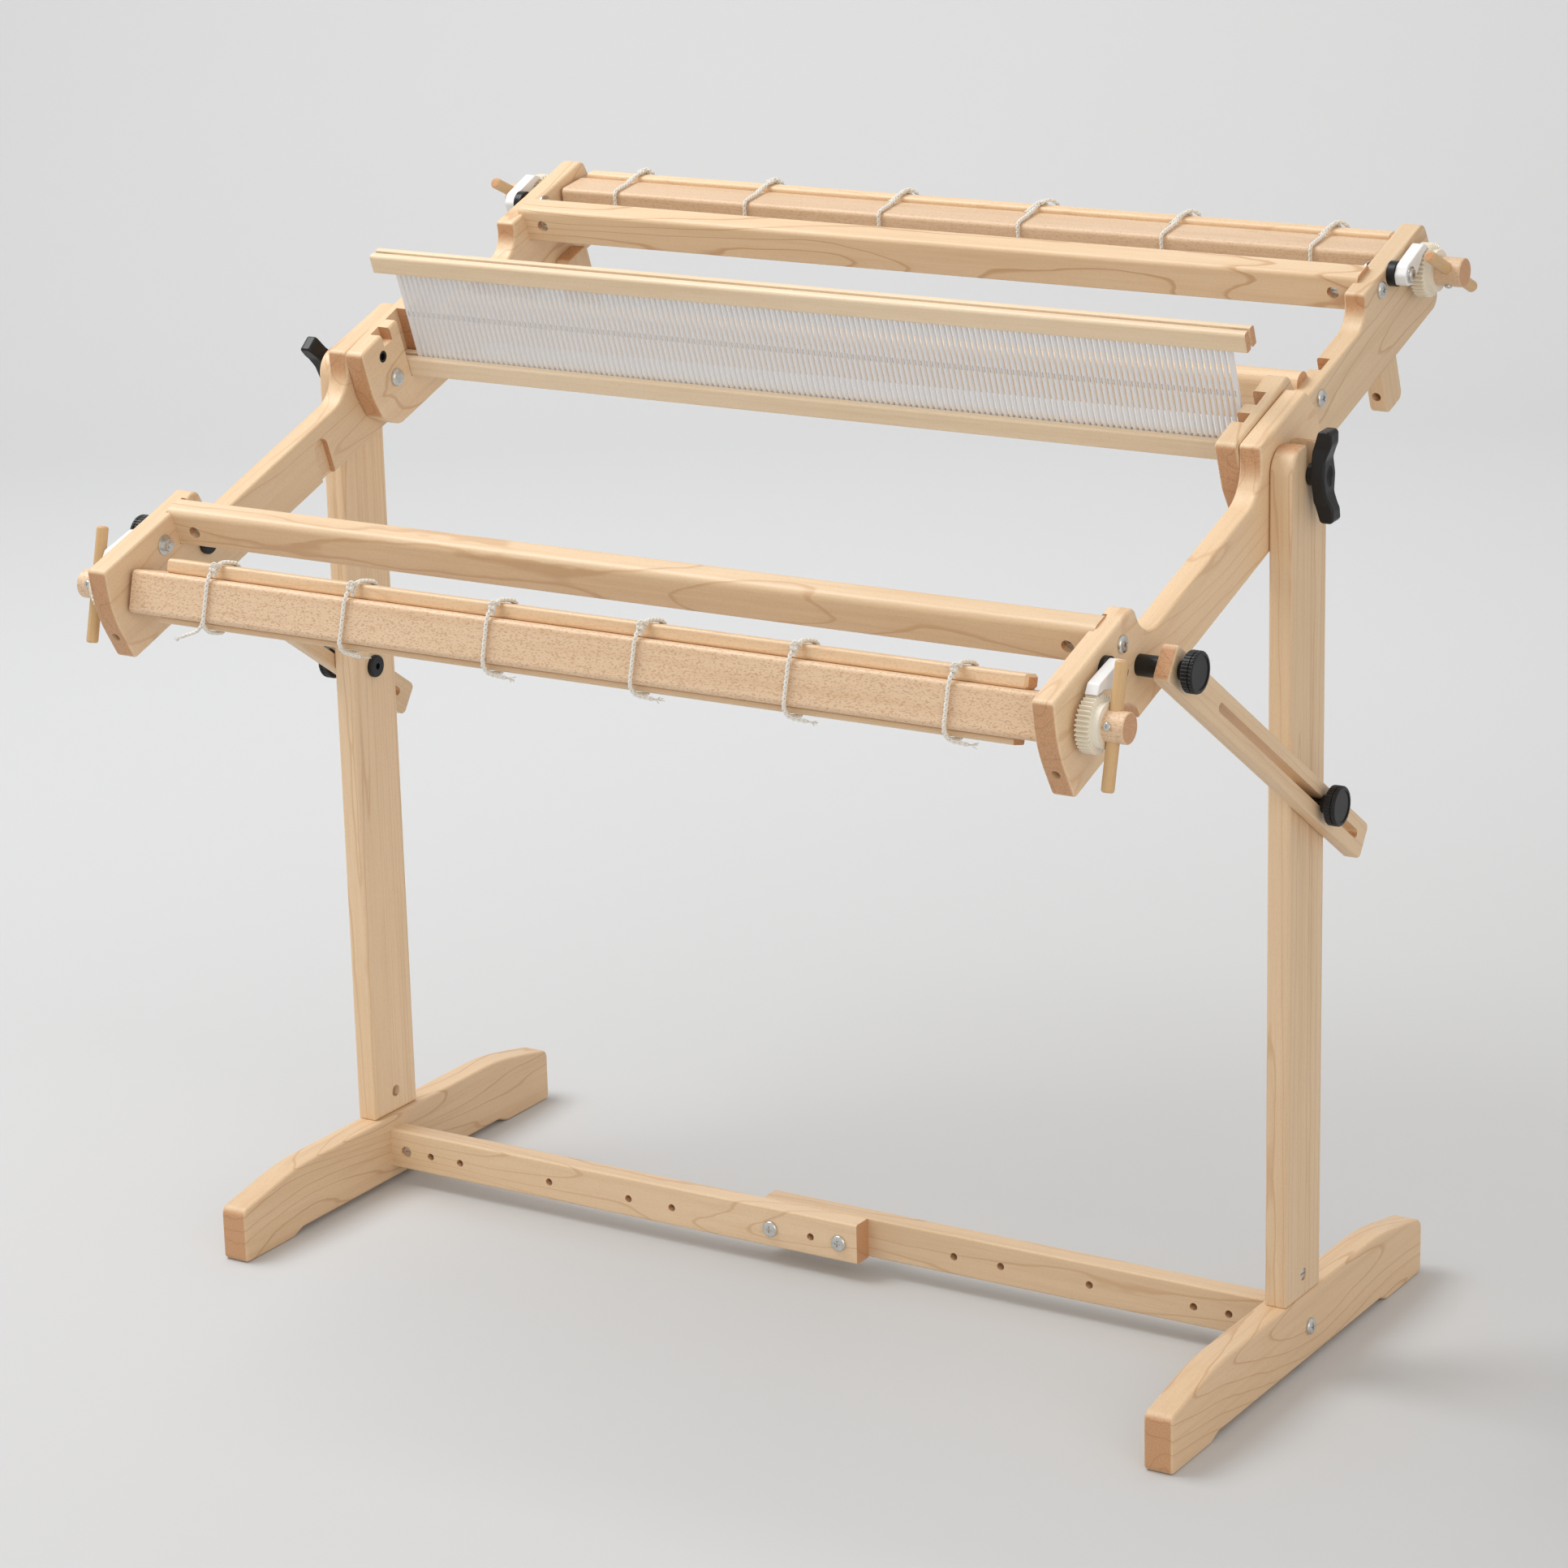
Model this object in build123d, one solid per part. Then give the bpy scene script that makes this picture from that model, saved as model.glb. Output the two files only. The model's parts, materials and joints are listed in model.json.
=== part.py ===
from build123d import *
from math import atan2, cos, degrees, pi, sin
import os

# Rigid heddle weaving loom on a two-post stand. Millimetres, +Z up, +X to the weaver's right,
# and the weaver sits on the -Y side. The loom frame is drawn flat, with its pivot at the origin,
# Y towards the warp beam and Z up, and is then tilted onto the posts.

# Stand
STAND_HALF = 444.5
POST_THICK, POST_WIDE, POST_TOP = 19.0, 60.0, 738.0
POST_IN = STAND_HALF - POST_THICK
FOOT_THICK, FOOT_HALF, FOOT_TOP, FOOT_END = 24.0, 223.5, 61.4, 46.5
FOOT_IN = STAND_HALF - FOOT_THICK
FOOT_MID = POST_WIDE / 2
BAR_LOW, BAR_HIGH, BAR_THICK, BAR_LAP = 16.0, 50.5, 19.0, 50.0
BAR_MEET = 32.5
BAR_MID = (BAR_LOW + BAR_HIGH) / 2 - 1.25

# Loom frame
PIVOT_Y, PIVOT_Z, TILT = 30.0, 715.0, 19.5
BOARD = 18.6
FRONT_OUT = 425.1
FRONT_IN = FRONT_OUT - BOARD
BACK_OUT = FRONT_IN - 0.4
BACK_IN = BACK_OUT - BOARD
DADO = 5.0
SOFT = 2.5
CLEAR = 0.05

# Beams, ratchets and handles
BEAM, AXLE_D = 34.0, 23.0
CLOTH_S, CLOTH_T, CLOTH_UP = -338.5, 2.0, 56.5
WARP_S, WARP_T, WARP_UP = 285.0, 11.0, 80.0
CLOTH_HALF, WARP_HALF = 403.5, 384.5
GEAR_R, GEAR_ROOT, GEAR_TEETH, GEAR_THICK = 21.2, 18.0, 36, 10.0
CLOTH_GEAR, WARP_GEAR = 429.5, 412.5
HANDLE_D, HANDLE_LONG = 9.5, 92.0
CLOTH_HANDLE, WARP_HANDLE = 450.0, 438.0
TIE_X, TIE_D = (65.5, 196.5, 327.5), 3.0

# Braces and knobs
BRACE_S, BRACE_T = -252.0, -7.0
STUD_Z = 462.9
BRACE_IN, BRACE_THICK, BRACE_WIDE = 444.9, 13.0, 29.0
BRACE_OUT = BRACE_IN + BRACE_THICK
STUD_D = 7.0

# Heddle
RAIL_HALF, REED_HALF, SLAT_PITCH, SLATS = 397.7, 381.0, 5.08, 150
SLAT_WIDE, REED_THICK = 2.4, 3.0

LOOM = Pos(0, PIVOT_Y, PIVOT_Z) * Rot(TILT, 0, 0)


def block(x0, x1, y0, y1, z0, z1):
    """Box between two corners."""
    centre = Pos((x0 + x1) / 2, (y0 + y1) / 2, (z0 + z1) / 2)
    return centre * Box(x1 - x0, y1 - y0, z1 - z0)


def rod_x(x0, x1, y, z, diameter):
    """Cylinder along X."""
    return Pos((x0 + x1) / 2, y, z) * Rot(0, 90, 0) * Cylinder(diameter / 2, x1 - x0)


def rod_y(x, y0, y1, z, diameter):
    """Cylinder along Y."""
    return Pos(x, (y0 + y1) / 2, z) * Rot(90, 0, 0) * Cylinder(diameter / 2, y1 - y0)


def rod_z(x, y, z0, z1, diameter):
    """Cylinder along Z."""
    return Pos(x, y, (z0 + z1) / 2) * Cylinder(diameter / 2, z1 - z0)


def both(right):
    """A right-hand piece and its left-hand twin."""
    return [right, mirror(right, Plane.YZ)]


def rim_edges(solid):
    """Edges of the two broad faces that look along X."""
    faces = solid.faces().sort_by(Axis.X)
    return faces[0].edges() + faces[-1].edges()


def slab(x0, x1, corners, soft=0.0, keep=None):
    """Board between x0 and x1; each corner is (y, z, radius)."""
    line = FilletPolyline(
        *[(0, y, z) for y, z, _ in corners],
        radius=[r for _, _, r in corners],
        close=True,
    )
    board = Pos(x0, 0, 0) * extrude(make_face(line), x1 - x0, dir=(1, 0, 0))
    if keep is not None:
        board = board & keep
    if soft:
        board = fillet(rim_edges(board), soft)
    return board


def truss_screw(head, shank, length, rise=3.0):
    """Truss-head cross screw along X, its head above x = 0 and its shank below."""
    body = rod_x(0, rise, 0, 0, head)
    body = fillet(body.faces().sort_by(Axis.X)[-1].edges(), rise * 0.75)
    body += rod_x(-length, 0.5, 0, 0, shank)
    blade = block(rise - 1.2, rise + 1, -head * 0.2, head * 0.2, -head * 0.05, head * 0.05)
    return body - blade - Rot(90, 0, 0) * blade


def barrel_nut(x, y0, y1, z, bolt):
    """Slotted cross dowel along Y, drilled for a bolt that runs along X or Z."""
    nut = rod_y(x, y0, y1, z, 10)
    nut -= block(x - 4.2, x + 4.2, y0 - 1, y0 + 1.2, z - 0.7, z + 0.7)
    if bolt == "x":
        return nut - rod_x(x - 8, x + 8, (y0 + y1) / 2, z, 6.1)
    return nut - rod_z(x, (y0 + y1) / 2, z - 8, z + 8, 6.1)


def gear(x0, centre_s, centre_t, out):
    """Ratchet wheel with a smooth hub on its outer side."""
    step = 2 * pi / GEAR_TEETH
    tips = []
    for n in range(GEAR_TEETH):
        tips.append((GEAR_ROOT, n * step))
        tips.append((GEAR_R, (n + 0.28) * step))
        tips.append((GEAR_R, (n + 0.52) * step))
        tips.append((GEAR_ROOT, (n + 0.8) * step))
    ring = Polyline(*[(0, r * cos(a), r * sin(a)) for r, a in tips], close=True)
    wheel = Pos(x0, 0, 0) * extrude(make_face(ring), GEAR_THICK, dir=(1, 0, 0))
    wheel += rod_x(x0 + GEAR_THICK - 1, x0 + GEAR_THICK + out, 0, 0, 33)
    wheel -= rod_x(x0 - 1, x0 + GEAR_THICK + out + 1, 0, 0, AXLE_D + 2 * CLEAR)
    return Pos(0, centre_s, centre_t) * wheel


def beam(half, axle_half):
    """Square roller with round ends."""
    bar = block(-half, half, -BEAM / 2, BEAM / 2, -BEAM / 2, BEAM / 2)
    bar = fillet(bar.edges().filter_by(Axis.X), 4)
    bar = fillet(rim_edges(bar), 1.5)
    ends = rod_x(-axle_half, axle_half, 0, 0, AXLE_D)
    ends = fillet(rim_edges(ends), 1.5)
    bar += ends
    return bar


def handle_holes(handle_x):
    """What the handles and their locking screws take out of a roller."""
    hole = rod_z(handle_x, 0, -20, 20, HANDLE_D + 2 * CLEAR)
    return both(hole + rod_y(handle_x, -20, 4, 0, 3.1))


def handles(handle_x):
    """Two round dowels through the axle, drilled for their locking screws."""
    dowel = rod_z(handle_x, 0, -HANDLE_LONG / 2, HANDLE_LONG / 2, HANDLE_D)
    dowel = fillet(dowel.faces().sort_by(Axis.Z)[-1].edges(), 2)
    dowel = fillet(dowel.faces().sort_by(Axis.Z)[0].edges(), 2)
    return both(dowel - rod_y(handle_x, -20, 4, 0, 3.1))


def tie(x, corners):
    """Cord loop lying in a plane across a beam; each corner is (y, z)."""
    line = FilletPolyline(*[(x, y, z) for y, z in corners], radius=2.2)
    start = Plane(origin=line @ 0, z_dir=line % 0)
    return sweep(start * Circle(TIE_D / 2), path=line)


def round_knob(x0, y, z):
    """Clamping knob: a neck, and a head with a finely fluted rim in two bands."""
    knob = rod_x(x0, x0 + 7, 0, 0, 14)
    rim = rod_x(x0 + 6, x0 + 15.3, 0, 0, 31)
    rim = fillet(rim.edges().filter_by(GeomType.CIRCLE), 1.6)
    flutes = 36
    for n in range(flutes):
        a = 2 * pi * n / flutes
        rim -= rod_x(x0 + 5, x0 + 16.5, 15.9 * cos(a), 15.9 * sin(a), 1.9)
    rim -= rod_x(x0 + 11.6, x0 + 12.4, 0, 0, 33) - rod_x(x0 + 11, x0 + 13, 0, 0, 29)
    rim -= rod_x(x0 + 14.7, x0 + 16, 0, 0, 25)
    knob += rim
    knob -= rod_x(x0 - 1, x0 + 11, 0, 0, STUD_D + 2 * CLEAR)
    return Pos(0, y, z) * knob


def wing_knob(turn):
    """Two-wing clamping knob; its wings lean away from the post and flare at their ends."""
    x0 = STAND_HALF + 0.4
    hub = rod_x(x0, x0 + 8, 0, 0, 17)
    line = FilletPolyline(
        (x0 + 4.5, 0, -19),
        (x0 + 4.5, 0, 19),
        (x0 + 10, 0, 35.2),
        (x0 + 20.5, 0, 35.2),
        (x0 + 20.5, 0, 25),
        (x0 + 15.5, 0, 13),
        (x0 + 15.5, 0, -13),
        (x0 + 20.5, 0, -25),
        (x0 + 20.5, 0, -35.2),
        (x0 + 10, 0, -35.2),
        radius=[12, 12, 3.5, 3.5, 8, 10, 10, 8, 3.5, 3.5],
        close=True,
    )
    wings = extrude(make_face(line), 12, both=True)
    waist = FilletPolyline(
        (0, -8, -40),
        (0, -6.5, -22),
        (0, -11, 0),
        (0, -6.5, 22),
        (0, -8, 40),
        (0, 8, 40),
        (0, 6.5, 22),
        (0, 11, 0),
        (0, 6.5, -22),
        (0, 8, -40),
        radius=[1, 12, 12, 12, 1, 1, 12, 12, 12, 1],
        close=True,
    )
    wings = wings & (Pos(x0, 0, 0) * extrude(make_face(waist), 30, dir=(1, 0, 0)))
    wings = fillet(wings.edges(), 1.8)
    dish = Pos(x0 + 17.5, 0, 0) * scale(Sphere(5), (0.9, 1.2, 1.9))
    knob = hub + wings - dish
    knob -= rod_x(x0 - 1, x0 + 10.5, 0, 0, 6.35 + 2 * CLEAR)
    return Pos(0, PIVOT_Y, PIVOT_Z) * Rot(turn, 0, 0) * knob


def wing_nut(x, y, z):
    """Small wing nut on a screw that runs along Y; its wings stand up."""
    nut = rod_y(x, y, y + 7, z, 11)
    for side in (-1, 1):
        fin = Pos(x + side * 9, y + 4.5, z + 6.5) * Rot(0, side * 38, 0) * Box(5.5, 2.6, 19)
        nut += fillet(fin.edges().filter_by(Axis.Y), 2.4)
    return nut - rod_y(x, y - 1, y + 8, z, 5.1)


def stand():
    """Feet, posts, the two-part crossbar and their fastenings."""
    nodes = {}
    y0, y1 = FOOT_MID - FOOT_HALF, FOOT_MID + FOOT_HALF
    foot = slab(
        FOOT_IN,
        STAND_HALF,
        [
            (y0, 0, 5),
            (FOOT_MID - 158, 0, 3),
            (FOOT_MID - 145, 5, 3),
            (FOOT_MID + 145, 5, 3),
            (FOOT_MID + 158, 0, 3),
            (y1, 0, 5),
            (y1, FOOT_END, 8),
            (FOOT_MID + 148, FOOT_TOP, 250),
            (FOOT_MID - 148, FOOT_TOP, 250),
            (y0, FOOT_END, 8),
        ],
        soft=SOFT,
    )
    post_x = STAND_HALF - POST_THICK / 2
    foot -= rod_z(post_x, FOOT_MID, -1, 70, 6.4)
    foot -= rod_z(post_x, FOOT_MID, -1, 14, 15)
    bar_left = (BAR_MEET - BAR_THICK, BAR_MEET)
    bar_right = (BAR_MEET, BAR_MEET + BAR_THICK)
    nodes["foot_right"] = [foot - rod_x(400, 460, sum(bar_right) / 2, BAR_MID, 6.4)]
    left_foot = mirror(foot, Plane.YZ)
    nodes["foot_left"] = [left_foot - rod_x(-460, -400, sum(bar_left) / 2, BAR_MID, 6.4)]

    post = slab(
        POST_IN,
        STAND_HALF,
        [(0, FOOT_TOP, 1), (0, POST_TOP, 20), (POST_WIDE, POST_TOP, 20), (POST_WIDE, FOOT_TOP, 1)],
        soft=SOFT,
    )
    slot_floor = PIVOT_Z + 3.3
    post -= rod_x(POST_IN - 1, STAND_HALF + 1, PIVOT_Y, slot_floor, 13)
    post -= block(POST_IN - 1, STAND_HALF + 1, PIVOT_Y - 6.5, PIVOT_Y + 6.5, slot_floor, 760)
    post -= rod_x(POST_IN - 1, STAND_HALF + 1, PIVOT_Y, STUD_Z, STUD_D + 2 * CLEAR)
    post -= rod_z(post_x, FOOT_MID, 50, 100, 6.4)
    post -= rod_x(POST_IN - 1, STAND_HALF + 1, FOOT_MID, 80, 10 + 2 * CLEAR)
    nodes["post_right"], nodes["post_left"] = [[p] for p in both(post)]

    def bar(x0, x1, ys, sign):
        body = block(x0, x1, ys[0], ys[1], BAR_LOW, BAR_HIGH)
        body = fillet(body.edges().filter_by(Axis.X), 2)
        for x in (130.5, 174, 255, 348, 379):
            body -= rod_y(sign * x, ys[0] - 1, ys[1] + 1, 32, 6.5)
        for x in (-33, 33):
            body -= rod_y(x, ys[0] - 1, ys[1] + 1, BAR_MID, 5.1)
        middle = sum(ys) / 2
        body -= rod_x(sign * 380, sign * 421, middle, BAR_MID, 6.4) if sign > 0 else rod_x(
            -421, -380, middle, BAR_MID, 6.4
        )
        return body - rod_y(sign * 405, ys[0] - 1, middle + 8, BAR_MID, 10 + 2 * CLEAR)

    left_bar = bar(-FOOT_IN, BAR_LAP, bar_left, -1)
    nodes["crossbar_left"] = [left_bar - rod_y(5.6, 10, 33, 32, 6.5)]
    nodes["crossbar_right"] = [bar(-BAR_LAP, FOOT_IN, bar_right, 1)]
    screw = Rot(0, 0, -90) * truss_screw(14, 5, 46)
    nodes["crossbar_screws"] = [Pos(x, bar_left[0], BAR_MID) * screw for x in (-33, 33)]
    nodes["crossbar_wing_nuts"] = [wing_nut(x, bar_right[1], BAR_MID) for x in (-33, 33)]

    upright = Rot(0, 90, 0) * truss_screw(13.5, 6, 74)
    side_screw = truss_screw(13.5, 6, 52)
    nodes["stand_bolts"] = [
        Pos(post_x, FOOT_MID, 14) * upright,
        Pos(-post_x, FOOT_MID, 14) * upright,
        Pos(STAND_HALF, sum(bar_right) / 2, BAR_MID) * side_screw,
        mirror(Pos(STAND_HALF, sum(bar_left) / 2, BAR_MID) * side_screw, Plane.YZ),
    ]
    mid_l, mid_r = sum(bar_left) / 2, sum(bar_right) / 2
    post_nut = Rot(0, 0, 90) * barrel_nut(0, -7, 7, 0, "z")
    post_nut -= Pos(post_x - STAND_HALF + 8, 0, 0) * rod_z(0, 0, -8, 8, 6.1)
    nodes["stand_barrel_nuts"] = [
        Pos(STAND_HALF - 8, FOOT_MID, 80) * post_nut,
        Pos(8 - STAND_HALF, FOOT_MID, 80) * Rot(0, 0, 180) * post_nut,
        barrel_nut(405, mid_r - 7, mid_r + 7, BAR_MID, "x"),
        barrel_nut(-405, mid_l - 7, mid_l + 7, BAR_MID, "x"),
    ]

    bolt = rod_x(BACK_IN - 4, BACK_IN, 0, 0, 15)
    bolt = fillet(bolt.faces().sort_by(Axis.X)[0].edges(), 3)
    bolt += rod_x(BACK_IN - 0.5, STAND_HALF + 10.5, 0, 0, 6.35)
    nodes["pivot_bolts"] = both(Pos(0, PIVOT_Y, PIVOT_Z) * bolt)
    stud = rod_x(POST_IN - 4, POST_IN, PIVOT_Y, STUD_Z, 19)
    stud = fillet(stud.faces().sort_by(Axis.X)[0].edges(), 1.5)
    stud += rod_x(POST_IN - 0.5, BRACE_OUT + 11, PIVOT_Y, STUD_Z, STUD_D)
    socket = extrude(Plane.YZ * RegularPolygon(3, 6), 3.5)
    stud -= Pos(POST_IN - 4.5, PIVOT_Y, STUD_Z) * socket
    nodes["lower_brace_studs"] = both(stud)
    nodes["wing_knob_right"] = [wing_knob(4)]
    nodes["wing_knob_left"] = [mirror(wing_knob(40), Plane.YZ)]
    knob = round_knob(BRACE_OUT + 0.3, PIVOT_Y, STUD_Z)
    nodes["lower_knob_right"], nodes["lower_knob_left"] = [[k] for k in both(knob)]
    return nodes


def frame_bolt(face_x, s, t, length):
    """Truss bolt whose head rests on an outer face."""
    return Pos(face_x, s, t) * truss_screw(13.5, 6, length)


def pawl_kit(x0, face_out, face_in, s, t):
    """Pivot screw with washers and lock nut, and the spacer disc behind the pawl."""
    x1 = x0 + GEAR_THICK
    screw = Pos(x1 + 0.9, s, t) * truss_screw(10, 5, x1 + 0.9 - face_in + 7, rise=1.8)
    outer = rod_x(x1 + 0.1, x1 + 0.9, s, t, 13) - rod_x(x1, x1 + 1, s, t, 5.1)
    inner = rod_x(face_in - 1.2, face_in, s, t, 16) - rod_x(face_in - 2, face_in + 1, s, t, 5.1)
    hexagon = RegularPolygon(5, 6)
    nut = extrude(Plane.YZ * hexagon, 5) - rod_x(-1, 6, 0, 0, 5.1)
    nut = Pos(face_in - 6.2, s, t) * nut
    spacer = rod_x(face_out, x0 - 0.1, s, t, 20) - rod_x(face_out - 1, x0 + 1, s, t, 5.1)
    return [screw, outer, inner, nut], spacer


def front_frame():
    """Front sides, front beam and what is fastened to them, drawn flat."""
    nodes = {}
    keep = block(300, 500, -400, 0, -80, 80) + rod_x(300, 500, 0, 0, 126)
    side = slab(
        FRONT_IN,
        FRONT_OUT,
        [
            (-369.5, 38, 4),
            (-244.5, 38, 8),
            (-238.4, 4, 28),
            (-39.9, 4.5, 30),
            (-31, 39.5, 4),
            (80, 39.5, 0.5),
            (80, -44, 0.5),
            (-366.5, -44, 5),
            (-376, 3, 110),
        ],
        soft=SOFT,
        keep=keep,
    )
    side -= rod_x(400, 430, -288, -44, 48)
    side -= rod_y(FRONT_OUT - BOARD / 2, -380, -340, -22, 7.5)
    side -= rod_x(FRONT_IN - 1, FRONT_IN + 5, -92, -17, 18)
    side -= block(FRONT_IN - 1, FRONT_IN + 5, -101, -83, -50, -17)
    side -= block(FRONT_IN - 1, FRONT_IN + DADO, -281, -259, 9, 45)
    side -= rod_x(400, 430, CLOTH_S, CLOTH_T, AXLE_D + 0.16)
    side -= rod_x(400, 430, 0, 0, 6.35 + 2 * CLEAR)
    side -= rod_x(400, 430, BRACE_S, BRACE_T, STUD_D + 2 * CLEAR)
    side -= rod_x(400, 430, -298.5, 19.5, 5.1)
    side -= rod_x(400, 430, -270, 22, 6.1)
    nodes["front_side_right"], nodes["front_side_left"] = [[p] for p in both(side)]

    half = FRONT_IN + DADO
    rail = slab(-half, half, [(-281, 9, 2), (-281, 39.5, 6), (-259, 39.5, 6), (-259, 9, 2)])
    for x in (388, -388):
        rail -= rod_y(x, -282, -264, 22, 10 + 2 * CLEAR)
    for x0, x1 in ((370, 420), (-420, -370)):
        rail -= rod_x(x0, x1, -270, 22, 6.1)
    nodes["front_beam"] = [rail]
    nodes["front_beam_bolts"] = both(frame_bolt(FRONT_OUT, -270, 22, 48))
    nodes["front_beam_barrel_nuts"] = both(barrel_nut(388, -276, -264, 22, "x"))

    bolt = rod_x(FRONT_IN - 4, FRONT_IN, BRACE_S, BRACE_T, 19)
    bolt = fillet(bolt.faces().sort_by(Axis.X)[0].edges(), 1.5)
    bolt += rod_x(FRONT_IN - 0.5, BRACE_OUT + 11, BRACE_S, BRACE_T, STUD_D)
    nodes["upper_brace_bolts"] = both(bolt)
    tube = rod_x(FRONT_OUT, STAND_HALF, BRACE_S, BRACE_T, 16)
    tube -= rod_x(FRONT_OUT - 1, STAND_HALF + 1, BRACE_S, BRACE_T, STUD_D + 2 * CLEAR)
    nodes["spacer_tubes"] = both(tube)
    knob = round_knob(BRACE_OUT + 0.3, BRACE_S, BRACE_T)
    nodes["upper_knob_right"], nodes["upper_knob_left"] = [[k] for k in both(knob)]

    kit, spacer = pawl_kit(CLOTH_GEAR, FRONT_OUT, FRONT_IN, -298.5, 19.5)
    nodes["front_pawl_fasteners"] = [p for piece in kit for p in both(piece)]
    nodes["front_pawl_spacers"] = both(spacer)
    pawl = slab(
        CLOTH_GEAR,
        CLOTH_GEAR + GEAR_THICK,
        [
            (-337.5, 24.1, 0.8),
            (-330, 30, 4),
            (-296, 28.5, 6),
            (-289.5, 23, 4),
            (-289.5, 14, 4),
            (-298, 10.5, 4),
            (-314, 15.5, 3),
            (-325.5, 22.4, 3),
        ],
        soft=0.8,
    )
    pawl -= rod_x(425, 445, -298.5, 19.5, 5 + 2 * CLEAR)
    nodes["front_pawl_right"], nodes["front_pawl_left"] = [[p] for p in both(pawl)]
    return nodes


def cloth_roller():
    """Cloth beam in its own axes: +Z is the apron bar's side, +Y the back."""
    nodes = {}
    roller = beam(CLOTH_HALF, 462)
    for hole in handle_holes(CLOTH_HANDLE):
        roller -= hole
    nodes["cloth_beam"] = [roller]
    nodes["cloth_beam_handles"] = handles(CLOTH_HANDLE)
    nodes["cloth_beam_gears"] = both(gear(CLOTH_GEAR, 0, 0, 5.6))
    nodes["cloth_beam_screws"] = both(axle_screw(CLOTH_HANDLE))
    bar = block(-381, 381, -4.25, 13.25, BEAM / 2 + CLEAR, BEAM / 2 + 11)
    nodes["cloth_apron_bar"] = [bevelled(bar)]
    strip = block(-378, 378, -9, 7, -BEAM / 2 - 5, -BEAM / 2 - CLEAR)
    nodes["cloth_apron_strip"] = [fillet(strip.edges().filter_by(Axis.X), 1.5)]
    path = [(14.9, 18.7), (14.9, 29.7), (-5.9, 29.7), (-18.7, 18.7), (-18.7, -18.7), (-10.7, -23.7)]
    path += [(8.7, -23.7), (8.7, -18.7)]
    nodes["cloth_beam_ties"] = [tie(x, path) for x in TIE_X] + [tie(-x, path) for x in TIE_X]
    turn = Pos(0, CLOTH_S, CLOTH_T) * Rot(CLOTH_UP - 90, 0, 0)
    return {name: [turn * piece for piece in pieces] for name, pieces in nodes.items()}


def warp_roller():
    """Warp beam in its own axes: +Z is up, +Y the apron bar's side."""
    nodes = {}
    nodes["warp_beam_gears"] = both(gear(WARP_GEAR, 0, 0, 5.6))
    bar = block(-381, 381, BEAM / 2 + CLEAR, BEAM / 2 + 11, 2.5, 20)
    nodes["warp_apron_bar"] = [bevelled(bar)]
    strip = block(-378, 378, -8, 8, -BEAM / 2 - 5, -BEAM / 2 - CLEAR)
    nodes["warp_apron_strip"] = [fillet(strip.edges().filter_by(Axis.X), 1.5)]
    path = [(26.5, 0.8), (29.7, 0.8), (29.7, 21.7), (16, 21.7), (-18.7, 18.7), (-18.7, -18.7)]
    path += [(-9.7, -23.7), (9.7, -23.7), (9.7, -18.7)]
    nodes["warp_beam_ties"] = [tie(x, path) for x in TIE_X] + [tie(-x, path) for x in TIE_X]
    handle_turn = Rot(136 - WARP_UP, 0, 0)
    roller = beam(WARP_HALF, 450)
    for hole in handle_holes(WARP_HANDLE):
        roller -= handle_turn * hole
    nodes["warp_beam"] = [roller]
    nodes["warp_beam_handles"] = [handle_turn * p for p in handles(WARP_HANDLE)]
    nodes["warp_beam_screws"] = [handle_turn * p for p in both(axle_screw(WARP_HANDLE))]
    turn = Pos(0, WARP_S, WARP_T) * Rot(WARP_UP - 90, 0, 0)
    return {name: [turn * piece for piece in pieces] for name, pieces in nodes.items()}


def axle_screw(x):
    """Small screw that locks a handle dowel in its axle."""
    screw = Rot(0, 0, -90) * truss_screw(6, 3, 12, rise=1.6)
    return Pos(x, -AXLE_D / 2 - 0.05, 0) * screw


def bevelled(bar):
    """Apron bar with softened edges and bevelled ends."""
    bar = fillet(bar.edges().filter_by(Axis.X), 2.5)
    return chamfer(rim_edges(bar), 2.2)


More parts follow.
